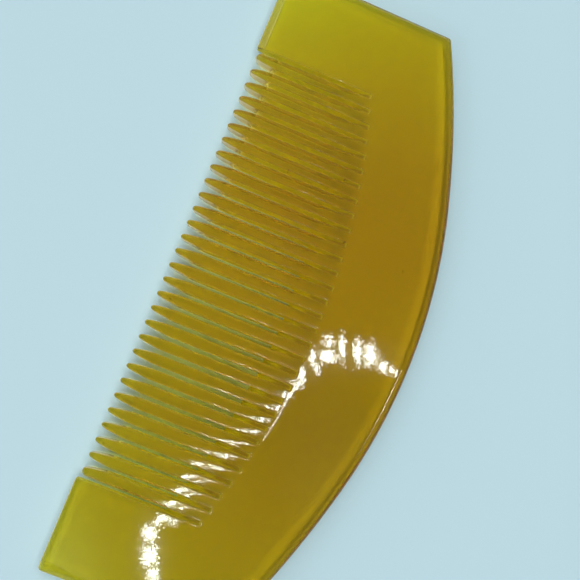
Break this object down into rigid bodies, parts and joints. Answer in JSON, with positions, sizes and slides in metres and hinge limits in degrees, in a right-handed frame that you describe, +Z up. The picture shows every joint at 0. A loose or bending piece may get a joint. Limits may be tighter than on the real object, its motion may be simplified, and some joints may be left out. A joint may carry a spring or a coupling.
{
  "type": "japanese hair comb",
  "caption": "One-piece translucent amber hair comb with straight sawn teeth between two solid end guards under a bowed back, for dressing the hair.",
  "frame": {"origin": "on the surface that the comb lies on, below the middle of its length and of its height", "axes": "+X along the comb, teeth pointing to -Y, back towards +Y, +Z up out of the lying comb's upper face"},
  "size_m": [0.1144, 0.0469, 0.0044],
  "materials": {
    "amber_plastic": "polished, translucent"
  },
  "bodies": {
    "root": {"comb": "amber_plastic"}
  },
  "joints": []
}
